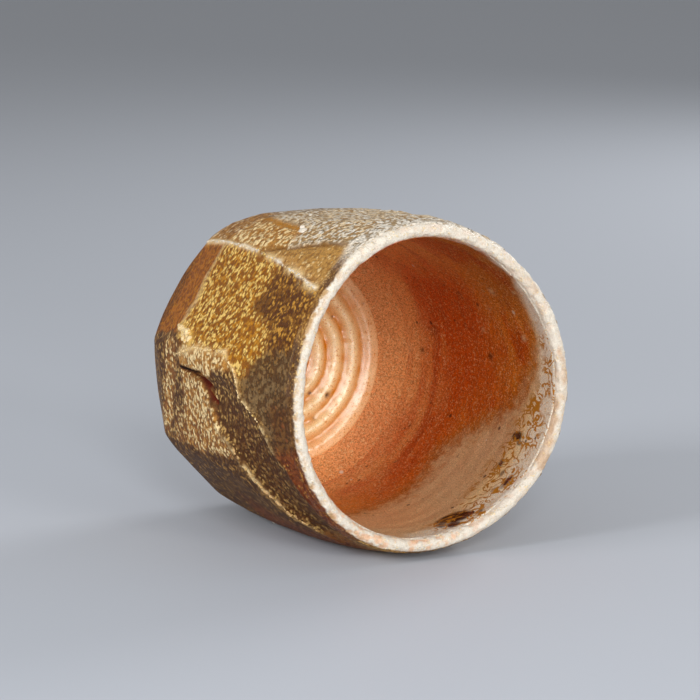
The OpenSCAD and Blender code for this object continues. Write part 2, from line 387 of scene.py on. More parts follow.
def sweep_depth(azimuth, share):
    """Depth of the main knife sweep, a hollow band between its two edges."""
    upper = np.interp(azimuth, *np.array(UPPER_EDGE).T)
    lower_line = ((1.0, 0.47),) + LOWER_EDGE
    lower = np.interp(azimuth, *np.array(lower_line).T)
    t = (share - lower) / np.maximum(upper - lower, 0.02)
    inside = ramp(-2, 6, azimuth) * (1 - ramp(62, 78, azimuth))
    return inside * np.clip(4 * t * (1 - t), 0, None) ** 0.7 * (t > 0) * (t < 1)


def wall_form(azimuth, z, form):
    """Radius of the outside, and its marks for the painting, at azimuths and heights."""
    share = share_of(z)
    spot = around(azimuth, UNROLL_R, z)
    drift_a = azimuth + 0.5 * grain(spot, 9, 3, 2)
    drift_z = z + 0.35 * grain(spot, 8, 4, 2)
    r = cut_radius(drift_a, np.maximum(drift_z, FOOT_H), form.edge_round / MM) + swell(azimuth, z)
    wob_a = azimuth + 0.5 * grain(spot, 3.0, 11, 2)
    wob_s = share + 0.006 * grain(spot, 3.0, 12, 2)
    away, along = {}, {}
    for mark, line in LINES.items():
        away[mark], along[mark] = stroke(wob_a, wob_s, line)

    left = ramp(-47, -52, azimuth + 12 * (0.5 - share)) * ramp(-185, -150, azimuth)
    smooth = patch(wob_a, wob_s, SMOOTH_FIELD, 0.6)
    crust = left * (1 - smooth) * ramp(0.2, 0.34, share)
    low_crust = ramp(100, 130, azimuth) * ramp(0.3, 0.5, share)
    rough = np.clip(crust + 0.5 * low_crust, 0, 1)
    flap = patch(wob_a, wob_s, FLAP, 0.7)

    rise = form.ridge_rise / MM
    r = r - SWEEP_DEPTH * sweep_depth(wob_a, wob_s)
    for mark, part, width in RAISED:
        r = r + rise * part * bell(away[mark], width)
    r = r + rise * bell(away["lower"], 0.8) * (1 + 0.8 * grain(spot, 1.6, 21))
    fading = 0.4 + 0.6 * ramp(1, 0.3, along["groove"])
    r = r - form.groove_depth / MM * bell(away["groove"], 0.4) * fading
    r = r - 0.15 * bell(away["ochre"], 0.6)
    r = r + 0.55 * flap * (0.6 + 0.4 * grain(spot * (1, 1, 0.3), 1.3, 33))
    t = along["slit"]
    taper = np.clip(4 * t * (1.08 - t), 0.12, 1)
    wide = 0.5 + 0.8 * ramp(0.3, 0.7, t) * ramp(1.02, 0.85, t)
    r = r - form.slit_depth / MM * taper * bell(away["slit"], wide, 2.4)
    r = r + form.mottle_relief / MM * grain(spot, 1.5, 41, 2) * (1 - smooth) * ramp(0.22, 0.3, share)
    r = r + form.crust_relief / MM * rough * grain(spot, 1.2, 51, 2)
    r = r + 0.2 * crust + 0.06 * grain(spot, 5, 61, 2)
    marks = dict(away, spot=spot, slit_t=t, slit_wide=wide)
    marks["azimuth"] = azimuth + 1.5 * grain(spot, 6, 13, 2) + 1.0 * grain(spot, 1.8, 15)
    marks["share"] = share + 0.016 * grain(spot, 6, 14, 2) + 0.011 * grain(spot, 1.8, 16)
    return r, marks


# Paint: the colours and numbers of each vertex that the materials read


def plain_paint(count, hue, other, flecks, gaps, gloss):
    """Even paint, for later layers."""
    return {
        "ground": np.tile(np.array(hue), (count, 1)), "fleck": np.tile(np.array(other), (count, 1)),
        "flecks": np.full(count, float(flecks)), "gaps": np.full(count, float(gaps)),
        "gloss": np.full(count, float(gloss)),
    }


def lay(paint, mask, **layer):
    """Moves parts of a paint towards a layer, as far as the mask says."""
    for key, value in layer.items():
        base = paint[key]
        paint[key] = base + (np.asarray(value) - base) * (mask[:, None] if base.ndim == 2 else mask)


def tint(paint, hues, *layers):
    """Lays colours on the ground: pairs of a colour's name and its mask."""
    for hue, mask in layers:
        lay(paint, mask, ground=getattr(hues, hue))


# Coats on the wall: colour, colour of the flecks, feather in millimetres, amount, flecks,
# dark gaps, roughness and corners
COATS = (
    ("toast", "crust", 2, 0.9, 0.5, 0.6, 0.5, ((-75, 0), (-50, 0), (-49, 0.3), (-72, 0.3))),
    ("toast", "cream", 1.2, 1, 1.0, 0.38, 0.45,
     ((-64, 0.28), (-48.5, 0.28), (-46, 0.55), (-49.5, 0.70), (-59, 0.66))),
    ("crust", "white", 2, 1, 0.85, 0.7, 0.5,
     ((-95, 0.3), (-66, 0.36), (-60, 0.66), (-50, 0.68), (-55, 0.85), (-60, 0.97), (-95, 0.97))),
    ("tan", "cream", 0.9, 1, 0.28, 0.4, 0.4, ((-47.3, 0.54),) + SMOOTH_FIELD[1:]),
    ("toast", "cream", 1.5, 0.6, 0.2, 0.4, 0.35,
     ((-46.3, 0.56), (-47, 0.66), (-45, 0.80), (-41, 0.93), (-38, 0.93), (-43.6, 0.688))),
    ("ochre", "gold", 0.8, 1, 0.92, 0.62, 0.38,
     ((-49.5, 0.29), (-47, 0.5), (-43.6, 0.688), (-37, 0.96), (-5, 0.97), (-1, 0.72), (-8, 0.62), (-8, 0.44),
      (-11, 0.29))),
    ("brown", "ochre", 2.5, 0.8, 0.6, 0.7, 0.4,
     ((-42, 0.70), (-33, 0.67), (-26, 0.71), (-20, 0.80), (-10, 0.85), (-4, 0.97), (-38, 0.97))),
    ("brown", "brown", 1.4, 0.8, 0.1, 0.6, 0.4, ((-32, 0.73), (-29, 0.66), (-24, 0.67), (-24, 0.75))),
    ("ochre", "gold", 2, 0.7, 0.5, 0.55, 0.38,
     ((-24, 0.64), (-9, 0.62), (-2, 0.72), (-8, 0.82), (-20, 0.77))),
    ("amber", "ochre", 0.7, 1, 0.45, 0.6, 0.5, ((-50.5, 0), (-49.3, 0.285), (-12, 0.285), (-9.5, 0))),
    ("brown", "amber", 2.5, 0.7, 0.4, 0.6, 0.5, ((-51, -0.02), (-51, 0.08), (-10, 0.08), (-10, -0.02))),
    ("cream", "gold", 1, 0.45, 0.5, 0.4, 0.4, ((-18, 0.265), (-48, 0.275), (-48, 0.295), (-11, 0.30))),
    ("slate", "stone", 1, 1, 0.6, 0.75, 0.5, ((-11, 0), (-11, 0.29), (-6, 0.31), (29, 0.31), (29, 0))),
    ("toast", "cream", 1.2, 0.9, 0.85, 0.7, 0.45,
     ((-8, 0.2), (-9, 0.3), (10, 0.24), (28, 0.16), (27, 0.08), (5, 0.17))),
    ("toast", "cream", 1, 1, 0.98, 0.6, 0.45,
     ((0.5, 0.3), (29, 0.3), (29, 0.62), (21, 0.6), (12, 0.53), (3, 0.45))),
    ("toast", "cream", 2, 0.7, 0.6, 0.75, 0.45, ((17, 0.24), (29, 0.2), (29, 0.5), (20, 0.45))),
    ("toast", "cream", 0.8, 1, 1.0, 0.45, 0.45,
     ((-9, 0.31), (0.5, 0.31), (0.5, 0.45), (2, 0.56), (-2, 0.68), (-8.5, 0.62))),
    ("slate", "stone", 0.8, 1, 0.65, 0.8, 0.5,
     ((-1, 0.58), (3, 0.50), (10, 0.56), (20, 0.585), (33, 0.68), (60, 0.84), (64, 0.97), (41, 0.945),
      (12, 0.82), (5, 0.73), (-3, 0.69))),
    ("brown", "slate", 3, 0.55, 0.5, 0.75, 0.5,
     ((8, 0.62), (30, 0.70), (60, 0.86), (62, 0.97), (45, 0.94), (20, 0.83))),
    ("grey", "slate", 2, 0.9, 0.6, 0.75, 0.5,
     ((-12, 0.84), (-2, 0.74), (6, 0.74), (13, 0.83), (26, 0.89), (24, 0.97), (-14, 0.97))),
    ("brown", "rust", 2, 0.8, 0.3, 0.6, 0.5, ((7, 0.88), (26, 0.89), (27, 0.97), (7, 0.97))),
    ("rust", "toast", 2, 0.8, 0.3, 0.5, 0.5, ((24, 0.88), (30, 0.91), (62, 0.94), (62, 0.99), (22, 0.99))),
    ("olive", "tan", 0.7, 1, 0.5, 0.85, 0.55, ((29.2, 0), (29.2, 0.62), (60, 0.80), (76, 0.86), (76, 0))),
    # Rust towards the facet that the cup lies on: partly red flash, partly painted shadow of the contact
    ("rust", "brown", 3, 0.65, 0.3, 0.5, 0.55, ((50, 0.4), (60, 0.84), (80, 0.95), (84, 0.4))),
)


def paint_wall(marks, hues):
    """Colours and strengths of the ash on the outside."""
    a, s, spot = marks["azimuth"], marks["share"], marks["spot"]
    broad = grain(spot, 16, 71, 3)
    paint = plain_paint(len(a), hues.olive, hues.stone, flecks=0.5, gaps=0.5, gloss=0.5)
    paint["flecks"] = 0.5 + 0.3 * broad
    back = ramp(-60, -75, a) * ramp(-190, -150, a)
    tint(
        paint, hues,
        ("tan", ramp(-0.1, 0.5, broad)),
        ("rust", 0.5 * ramp(-0.15, -0.5, broad)),
        ("crust", 0.8 * back * ramp(0.1, 0.45, s + 0.08 * broad)),
    )
    lay(paint, back, fleck=hues.white, flecks=0.7)
    for hue, other, feather, amount, flecks, gaps, gloss, corners in COATS:
        mask = patch(a, s, corners, feather) * amount
        layer = {"ground": getattr(hues, hue), "fleck": getattr(hues, other)}
        lay(paint, mask, flecks=flecks, gaps=gaps, gloss=gloss, **layer)
    fine, mid = grain(spot, 1.5, 91), grain(spot, 4, 92, 2)
    broken = ramp(-0.6, 0.3, fine)
    for hue, amount, mark, width, part in (
        ("ochre", 0.85, "ochre", 1.0, 1),
        ("brown", 0.85, "groove", 0.45, 1),
        ("cream", 0.75, "lower", 0.55, ramp(-0.3, 0.4, fine) * ramp(17, 26, a)),
        ("cream", 0.7, "upper", 0.7, (1 - ramp(14, 30, a)) * broken),
        ("cream", 0.7, "flap", 0.8, broken),
        ("gold", 0.9, "short", 1.5, ramp(-0.7, 0.1, fine)),
        ("cream", 0.8, "ridge", 0.9 + 0.7 * ramp(0.6, 0.9, s), ramp(-0.7, 0.3, fine)),
        ("white", 0.7, "ridge", 0.5, ramp(-0.5, 0.3, mid)),
    ):
        mask = bell(marks[mark], width) * part
        lay(paint, amount * mask, ground=getattr(hues, hue))
        lay(paint, 0.8 * mask, flecks=0, gaps=0)
    wide = marks["slit_wide"]
    # Inside the tear: dark red, partly painted shade of the deep tear under the flap, and near black along
    # its lower part, which is painted shade
    lay(paint, bell(marks["slit"], wide * 1.15, 4), ground=hues.ember, flecks=0, gaps=0, gloss=0.85)
    tint(paint, hues, ("crevice_shade", bell(marks["slit"], wide * 0.8, 4) * ramp(0.62, 0.4, marks["slit_t"])))
    side = ramp(-44, -60, a) * ramp(-200, -150, a)
    top = ramp(0.93, 0.975, s + 0.03 * mid + 0.045 * side)
    lay(paint, top * side, ground=hues.white, fleck=hues.white, flecks=0.8)
    for key in ("flecks", "gaps"):
        paint[key] = np.clip(paint[key], 0, 1)
    return paint


def inside_form(azimuth, z):
    """Radius of the well's wall at azimuths and heights."""
    low = FLOOR_R + (WELL_R - FLOOR_R) * np.sqrt(
        np.clip(1 - ((TURN_Z - z) / (TURN_Z - FLOOR_Z)) ** 2, 0, 1)
    )
    high = WELL_R + (MOUTH_R - WELL_R) * (z - TURN_Z) / (LIP_Z - TURN_Z)
    return np.where(z < TURN_Z, low, high) + swell(azimuth, z)


# Modelling helpers


def clear_selection():
    """Leaves edit mode and selects nothing."""
    if bpy.context.object and bpy.context.object.mode != "OBJECT":
        bpy.ops.object.mode_set(mode="OBJECT")
    bpy.ops.object.select_all(action="DESELECT")


def corners_of(piece):
    """Places of a piece's vertices, in metres."""
    co = np.zeros(len(piece.data.vertices) * 3)
    piece.data.vertices.foreach_get("co", co)
    return co.reshape(-1, 3)


def set_corners(piece, places):
    """Moves a piece's vertices to places in millimetres."""
    piece.data.vertices.foreach_set("co", (places * MM).ravel())
    piece.data.update()


def thrown(name, section, columns):
    """Solid thrown on the wheel: a closed section of (radius, height) spun round the axis."""
    clear_selection()
    bpy.ops.mesh.primitive_circle_add(vertices=len(section), fill_type="NOTHING")
    piece = bpy.context.object
    piece.name = piece.data.name = name
    radius, z = np.array(section).T
    set_corners(piece, np.stack([radius, np.zeros(len(z)), z], -1))
    bpy.ops.object.mode_set(mode="EDIT")
    bpy.ops.mesh.select_all(action="SELECT")
    bpy.ops.mesh.spin(steps=columns, angle=2 * math.pi, center=(0, 0, 0), axis=(0, 0, 1))
    bpy.ops.mesh.select_all(action="SELECT")
    bpy.ops.mesh.remove_doubles(threshold=0.01 * MM)
    bpy.ops.mesh.delete_loose(use_verts=True, use_edges=True, use_faces=False)
    bpy.ops.mesh.select_all(action="SELECT")
    bpy.ops.mesh.normals_make_consistent(inside=False)
    bpy.ops.object.mode_set(mode="OBJECT")
    bpy.ops.object.shade_smooth()
    return piece


def places_of(piece):
    """Azimuth in degrees, radius and height in millimetres of each vertex."""
    x, y, z = corners_of(piece).T / MM
    return np.degrees(np.arctan2(y, x)), np.hypot(x, y), z


def move_to(piece, azimuth, radius, z):
    """Moves the vertices to azimuths, radii and heights."""
    set_corners(piece, around(azimuth, radius, z))


def crowd(azimuth, amount=0.35, towards=-10.0):
    """Azimuths drawn closer together on the side with the most marks."""
    turn = np.radians(azimuth)
    return np.degrees(turn - amount * np.sin(turn - math.radians(towards)))


def store(piece, name, values):
    """Keeps a number or a colour for each vertex, for the piece's material."""
    if values.ndim == 1:
        layer = piece.data.attributes.new(name, "FLOAT", "POINT")
        layer.data.foreach_set("value", values)
    else:
        layer = piece.data.attributes.new(name, "FLOAT_COLOR", "POINT")
        full = np.concatenate([values, np.ones((len(values), 1))], 1)
        layer.data.foreach_set("color", np.clip(full, 0, 1).ravel())


def store_all(piece, paint):
    """Keeps a whole paint."""
    for name, values in paint.items():
        store(piece, name, values)


def finish_piece(piece, material, slot, *nodes):
    """Gives a piece its material and body, and hides the CAD nodes that it stands for; slot is not used."""
    piece.data.materials.clear()
    piece.data.materials.append(material)
    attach(piece, "root")
    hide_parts(*nodes)


# Materials


def node_tools(tree):
    """Shorthand for one tree: add a node with its inputs, and add a node of arithmetic."""

    def add(kind, inputs=None, **settings):
        node = tree.nodes.new(kind)
        for name, value in settings.items():
            setattr(node, name, value)
        for name, source in (inputs or {}).items():
            if isinstance(source, bpy.types.NodeSocket):
                tree.links.new(source, node.inputs[name])
            else:
                node.inputs[name].default_value = source
        return node

    def maths(operation, first, second, clamp=False):
        inputs = {0: first, 1: second}
        return add("ShaderNodeMath", inputs, operation=operation, use_clamp=clamp).outputs[0]

    return add, maths


def four(rgb):
    """Colour with a full alpha."""
    return (*rgb, 1.0)


def mixed(add, factor, first, second, mode="MIX"):
    """Colour mixed from two by a factor."""
    inputs = {0: factor, 6: first, 7: second}
    return add("ShaderNodeMix", inputs, data_type="RGBA", blend_type=mode).outputs[2]


def faded(add, value, start, end):
    """Smooth step from 0 at start to 1 at end."""
    inputs = {"Value": value, "From Min": start, "From Max": end}
    return add("ShaderNodeMapRange", inputs, interpolation_type="SMOOTHSTEP").outputs[0]


def build_coat(group):
    """Ground with flecks of another colour, dark gaps between them and a fine grain."""
    add, maths = node_tools(group)
    take = add("NodeGroupInput").outputs

    def spots(vector, rate, granule, amount, most, least, full):
        """Mask of the places where noise and granules pass a level that the amount lowers."""
        noise = add("ShaderNodeTexNoise", {"Vector": vector, "Scale": rate, "Detail": 2.0, "Roughness": 0.55})
        level = add("ShaderNodeMapRange", {"Value": amount, "To Min": most, "To Max": least}).outputs[0]
        passed = maths("ADD", noise.outputs[0], granule)
        mask = faded(add, passed, level, maths("ADD", level, take["Softness"]))
        return maths("MULTIPLY", mask, maths("MULTIPLY", amount, full, True))

    place = add("ShaderNodeTexCoord").outputs["Object"]
    squeeze = add("ShaderNodeVectorMath", {0: place, 1: take["Stretch"]}, operation="MULTIPLY").outputs[0]
    shift = add("ShaderNodeVectorMath", {0: squeeze, 1: (0.37, 0.11, 0.73)}, operation="ADD").outputs[0]
    rate = maths("DIVIDE", 1.0, take["Size"])
    cells = add("ShaderNodeTexVoronoi", {"Vector": squeeze, "Scale": maths("MULTIPLY", rate, 1.7)})
    crown = maths("MULTIPLY", maths("SUBTRACT", 0.42, cells.outputs["Distance"]), take["Granules"])
    seam = maths("MULTIPLY", crown, -1.0)
    light = spots(squeeze, rate, crown, take["Flecks"], 0.62, 0.38, 2.0)
    dark = spots(shift, maths("MULTIPLY", rate, 1.25), seam, take["Gaps"], 0.66, 0.40, 1.4)
    tone = mixed(add, light, take["Ground"], take["Fleck"])
    shaded = mixed(add, 1.0, tone, (0.46, 0.34, 0.2, 1), "MULTIPLY")
    toned = mixed(add, dark, tone, shaded)
    fine = maths("MULTIPLY", rate, 3.2)
    grains = add("ShaderNodeTexNoise", {"Vector": place, "Scale": fine, "Detail": 3.0, "Roughness": 0.7})
    spread = add("ShaderNodeMapRange", {
        "Value": grains.outputs[0], "From Min": 0.3, "From Max": 0.7,
        "To Min": maths("SUBTRACT", 1.0, take["Grain"]), "To Max": maths("ADD", 1.0, take["Grain"]),
    })
    final = add("ShaderNodeVectorMath", {0: toned, "Scale": spread.outputs[0]}, operation="SCALE")
    height = maths("ADD", maths("SUBTRACT", light, dark), maths("MULTIPLY", grains.outputs[0], 1.2))
    add("NodeGroupOutput", {"Colour": final.outputs[0], "Height": height})


def build_worms(group):
    """Mask of thin wandering lines."""
    add, maths = node_tools(group)
    take = add("NodeGroupInput").outputs
    noise = add("ShaderNodeTexNoise", {
        "Vector": add("ShaderNodeTexCoord").outputs["Object"], "Scale": maths("DIVIDE", 1.0, take["Size"]),
        "Detail": 2.0, "Distortion": 0.8,
    })
    away = add("ShaderNodeMath", {0: maths("SUBTRACT", noise.outputs[0], 0.5)}, operation="ABSOLUTE")
    add("NodeGroupOutput", {"Mask": faded(add, away.outputs[0], take["Width"], 0.03)})


def build_pits(group):
    """Mask of small round spots, scattered thinly."""
    add, maths = node_tools(group)
    take = add("NodeGroupInput").outputs
    cells = add("ShaderNodeTexVoronoi", {
        "Vector": add("ShaderNodeTexCoord").outputs["Object"], "Scale": maths("DIVIDE", 1.0, take["Spacing"]),
    }).outputs
    pick = add("ShaderNodeSeparateColor", {0: cells["Color"]}).outputs[0]
    limits = {"Value": pick, "From Min": 0.55, "To Min": 0.0, "To Max": take["Radius"]}
    reach = add("ShaderNodeMapRange", limits).outputs[0]
    add("NodeGroupOutput", {"Mask": faded(add, cells["Distance"], reach, maths("MULTIPLY", reach, 0.6))})


NUMBER, TONE, VECTOR = "NodeSocketFloat", "NodeSocketColor", "NodeSocketVector"
# Node groups: what builds each, its inputs with their defaults, and its outputs
EFFECTS = {
    "Coat": (
        build_coat,
        (
            ("Ground", TONE, (0.5, 0.5, 0.5, 1)), ("Fleck", TONE, (0.8, 0.8, 0.8, 1)),
            ("Flecks", NUMBER, 0.5), ("Gaps", NUMBER, 0.5), ("Size", NUMBER, 0.0015),
            ("Stretch", VECTOR, (1, 1, 1)), ("Grain", NUMBER, 0.25), ("Softness", NUMBER, 0.16),
            ("Granules", NUMBER, 0.5),
        ),
        (("Colour", TONE), ("Height", NUMBER)),
    ),
    "Worms": (build_worms, (("Size", NUMBER, 0.004), ("Width", NUMBER, 0.03)), (("Mask", NUMBER),)),
    "Pits": (build_pits, (("Spacing", NUMBER, 0.004), ("Radius", NUMBER, 0.2)), (("Mask", NUMBER),)),
}


def effect(add, name, inputs):
    """Node of one of the node groups, which is built where it is first wanted."""
    group = bpy.data.node_groups.get(name)
    if not group:
        build, takes, gives = EFFECTS[name]
        group = bpy.data.node_groups.new(name, "ShaderNodeTree")
        for label, kind, value in takes:
            group.interface.new_socket(label, in_out="INPUT", socket_type=kind).default_value = value
        for label, kind in gives:
            group.interface.new_socket(label, in_out="OUTPUT", socket_type=kind)
        build(group)
    return add("ShaderNodeGroup", inputs, node_tree=group)


def painted(add, name, output="Fac"):
    """What a piece's painted attribute says."""
    return add("ShaderNodeAttribute", attribute_name=name).outputs[output]


def new_material(name):
    """Empty material, and the tools for its nodes."""
    material = bpy.data.materials.new(name)
    material.use_nodes = True
    material.node_tree.nodes.clear()
    return material, *node_tools(material.node_tree)


def cover(add, tone, height, rise, rough, shine=0.5):
    """Surface of a glaze or of clay, with its colour, bump and roughness."""
    bump = add("ShaderNodeBump", {"Height": height, "Distance": rise, "Strength": 1.0})
    surface = add("ShaderNodeBsdfPrincipled", {
        "Base Color": tone, "Normal": bump.outputs[0], "Roughness": rough, "Specular IOR Level": shine,
    })
    add("ShaderNodeOutputMaterial", {"Surface": surface.outputs[0]})


def glaze_material(name, size, rise, grain_share, shine, softness=0.16, stretch=(1, 1, 1), over=None):
    """Glaze that follows its piece's paint; over may add marks to its colour."""
    material, add, maths = new_material(name)
    coat = effect(add, "Coat", {
        "Ground": painted(add, "ground", "Color"), "Fleck": painted(add, "fleck", "Color"),
        "Flecks": painted(add, "flecks"), "Gaps": painted(add, "gaps"),
        "Size": size, "Stretch": stretch, "Grain": grain_share, "Softness": softness,
    }).outputs
    tone = over(add, maths, coat["Colour"]) if over else coat["Colour"]
    cover(add, tone, coat["Height"], rise, painted(add, "gloss"), shine)
    return material


def plain_material(name, ground, fleck, rise, rough, coat):
    """Clay, stone or iron, with the same coat all over."""
    material, add, _ = new_material(name)
    coat = effect(add, "Coat", {"Ground": four(ground), "Fleck": four(fleck), **coat}).outputs
    cover(add, coat["Colour"], coat["Height"], rise, rough)
    return material


def well_material(hues):
    """Satin terracotta wall with iron specks, white specks painted as the glaze's glints, and ochre worms
    near the lip.
    """

    def marks(add, maths, tone):
        worms = effect(add, "Worms", {"Size": 0.0031, "Width": 0.052}).outputs["Mask"]
        tone = mixed(add, maths("MULTIPLY", worms, painted(add, "worms")), tone, four(hues.worm))
        # Iron specks, and white specks that are painted highlights for the glaze's sparkle
        for spacing, radius, amount, hue in ((0.0033, 0.22, 0.8, hues.iron), (0.0075, 0.10, 0.6, hues.white)):
            pits = effect(add, "Pits", {"Spacing": spacing, "Radius": radius}).outputs["Mask"]
            tone = mixed(add, maths("MULTIPLY", pits, amount), tone, four(hue))
        return tone

    return glaze_material(
        "Inner glaze", size=0.00078, rise=0.00014, grain_share=0.42, shine=0.1, softness=0.12, over=marks
    )


# Operators, one for each piece or group of like pieces. In some sections a radius is a tag,
# which only tells the part that a place belongs to, until the piece is shaped.


class CUP_OT_wall(bpy.types.Operator):
    """Throws the barrel's skin, cuts its facets and lays the ash on it"""

    bl_idname = "cup.wall"
    bl_label = "Ash glazed wall"

    def execute(self, context):
        form, hues = context.scene.cup_form, context.scene.cup_colours
        skin_tag, back_tag = 50.0, 49.0
        section = [(skin_tag, z) for z in np.linspace(FOOT_H, LIP_Z, 177)]
        section += [(back_tag, z) for z in np.linspace(LIP_Z, FOOT_H, 11)]
        wall = thrown("ash_glazed_wall", section, form.columns)
        azimuth, tag, z = places_of(wall)
        azimuth = crowd(azimuth)
        r, marks = wall_form(azimuth, z, form)
        back = cut_radius(azimuth, z, HIDDEN_ROUND) + swell(azimuth, z) - WALL_BACK
        back = np.minimum(back, r - 0.5)
        move_to(wall, azimuth, np.where(tag > (skin_tag + back_tag) / 2, r, back), z)
        store_all(wall, paint_wall(marks, hues))
        material = glaze_material(
            "Ash glaze", size=0.0020, rise=0.00026, grain_share=0.3, shine=0.2, softness=0.18,
            stretch=(1, 1, 1.2),
        )
        finish_piece(wall, material, "ash_glaze", "ash_glaze")
        return {"FINISHED"}


class CUP_OT_clay(bpy.types.Operator):
    """Throws the clay body with its base and turns its foot"""

    bl_idname = "cup.clay"
    bl_label = "Clay body and foot"

    def execute(self, context):
        form, hues = context.scene.cup_form, context.scene.cup_colours
        coat = {"Size": 0.002, "Flecks": 0.25, "Gaps": 0.4, "Grain": 0.3}
        material = plain_material("Bare clay", hues.clay, hues.tan, rise=0.0002, rough=0.82, coat=coat)
        under_z, top_z, floor_z = FOOT_H + 0.3, LIP_Z - 0.5, FLOOR_Z - 0.9
        outer_tag, inner_tag = 50.0, 40.0
        section = [(x, under_z) for x in (0.0, 10.0, 18.0, 25.0, 30.0)]
        section += [(outer_tag, z) for z in np.linspace(FOOT_H, top_z, 60)]
        section += [(inner_tag, z) for z in np.linspace(top_z, floor_z, 50)]
        section += [(20.0, floor_z), (0.0, floor_z)]
        body = thrown("clay_wall", section, columns=240)
        azimuth, radius, z = places_of(body)
        outer, inner = radius > outer_tag - 5, np.abs(radius - inner_tag) < 5
        face, marks = wall_form(azimuth, z, form)
        # The clay draws back behind the tear, which is deeper than the glaze
        under = CLAY_UNDER_WALL + 2.6 * ramp(5, 3, marks["slit"])
        wall = cut_radius(azimuth, z, HIDDEN_ROUND) + swell(azimuth, z) - under
        wall = np.minimum(wall, face - 0.45)
        well = inside_form(azimuth, np.maximum(z, FLOOR_Z)) + CLAY_UNDER_WELL
        move_to(body, azimuth, np.where(outer, wall, np.where(inner, well, radius)), z)
        finish_piece(body, material, "clay", "clay_body")

        inner_r = FOOT_R - FOOT_WIDTH
        section = [
            (inner_r + 1.2, 0.9), (inner_r + 1.5, 0.3), (inner_r + 2.1, 0.0),
            (FOOT_R - 2.1, 0.0), (FOOT_R - 1.5, 0.25), (FOOT_R - 1.15, 0.8),
            (FOOT_R - 0.9, 2.0), (FOOT_R - 0.5, 3.4), (FOOT_R, FOOT_H + 0.4),
            (inner_r, FOOT_H + 0.4), (inner_r + 0.5, 3.4), (inner_r + 0.9, 2.0),
        ]
        foot = thrown("foot", section, columns=160)
        azimuth, radius, z = places_of(foot)
        rough = grain(around(azimuth, radius, z), 4, 7, 2)
        move_to(foot, azimuth, radius - 0.1 + 0.1 * rough * (z > 0), z)
        finish_piece(foot, material, "clay", "foot_ring")
        return {"FINISHED"}


class CUP_OT_lip(bpy.types.Operator):
    """Rolls the thick white glaze over the lip"""

    bl_idname = "cup.lip"
    bl_label = "White lip"

    def execute(self, context):
        form, hues = context.scene.cup_form, context.scene.cup_colours
        low = WHITE_Z - 0.9
        side = np.linspace(low, LIP_Z, 13)
        outer_tag, inner_tag, under_tag = 60.0, 250.0, 300.0
        section = [(outer_tag, z) for z in side]
        section += [(outer_tag + a, LIP_Z) for a in np.linspace(0, 180, 25)[1:-1]]
        section += [(inner_tag, z) for z in side[::-1]]
        section += [(under_tag, low + 0.2)]
        lip = thrown("white_lip", section, columns=760)
        azimuth, tag, z = places_of(lip)
        azimuth = crowd(azimuth, 0.2)
        middle = RIM_R - LIP_R + swell(azimuth, LIP_Z)
        outer, inner = np.abs(tag - outer_tag) < 0.1, np.abs(tag - inner_tag) < 0.1
        over, under = (tag > outer_tag + 0.5) & (tag < inner_tag - 1), tag > under_tag - 10
        angle = np.radians(np.where(over, tag - outer_tag, np.where(outer, 0, 180)))
        spot = around(azimuth, UNROLL_R, z) + around(azimuth, 2.2 * np.cos(angle), 1.9 * np.sin(angle))
        beads, lumps = grain(spot, 1.4, 101, 2), grain(spot, 4.0, 103, 2)
        coat = form.lip_relief / MM * (1.3 * beads + 0.8 * lumps)
        face, marks = wall_form(azimuth, np.minimum(z, LIP_Z), form)
        skirt = -0.45 + 0.55 * ramp(low, low + 2.6, z + 0.8 * lumps)
        thick = coat * ramp(low, LIP_Z, z)
        wall, well = face + skirt + thick, inside_form(azimuth, z) - skirt - 0.6 * thick
        roll = LIP_R * 0.94 + coat
        near = ramp(LIP_Z - 1.4, LIP_Z, z)
        radius = middle + np.cos(angle) * roll
        radius = np.where(outer, wall * (1 - near) + (middle + roll) * near, radius)
        radius = np.where(inner, well * (1 - near) + (middle - roll) * near, radius)
        radius = np.where(under, middle, radius)
        height = np.where(over, LIP_Z + np.sin(angle) * (LIP_R + coat - 0.1), z)
        move_to(lip, azimuth, radius, height)
        # The white begins at a ragged line on the outside and ends at one on the inside
        round_az = azimuth % 360
        first = angle < math.pi / 2
        paint = paint_wall(marks, hues)
        inside, _ = paint_well(round_az, share_of(np.minimum(z, LIP_Z)) + 0.02 * over, spot, hues)
        lay(paint, (~first).astype(float), **inside)
        drop = np.where(over | under, 0, LIP_Z - z)
        along = np.where(first, angle, math.pi - angle) * LIP_R - drop
        crusted = ramp(-40, -62, azimuth) * ramp(-170, -140, azimuth)
        start = 1.0 - 2.2 * crusted + 0.9 * beads + 0.8 * lumps
        end = 0.9 - 3.4 * ramp(100, 130, round_az) * ramp(215, 185, round_az) + 0.8 * beads + 0.9 * lumps
        warm = ramp(30, 60, azimuth) * ramp(125, 95, azimuth)
        stained = ramp(-58, -40, azimuth) * ramp(75, 45, azimuth)
        stained = stained * ramp(LIP_R * 1.6, LIP_R * 0.5, along + 0.6 * lumps)
        white = plain_paint(len(azimuth), hues.white, hues.cream, flecks=0.3, gaps=0.15, gloss=0.28)
        tint(
            white, hues,
            ("blush", 0.6 * ramp(0.1, -0.5, beads + 0.4 * lumps) * (0.25 + 0.75 * warm)),
            ("ochre", 0.5 * ramp(0.15, -0.35, lumps) * ramp(120, 150, round_az) * ramp(250, 200, round_az)),
            ("tan", 0.85 * stained * first * ramp(0.2, -0.35, beads)),
        )
        lay(paint, ramp(-0.25, 0.35, along - np.where(first, start, end)), **white)
        store_all(lip, paint)
        material = glaze_material("White lip glaze", size=0.0011, rise=0.00018, grain_share=0.14, shine=0.45)
        finish_piece(lip, material, "lip_glaze", "lip_glaze")
        return {"FINISHED"}


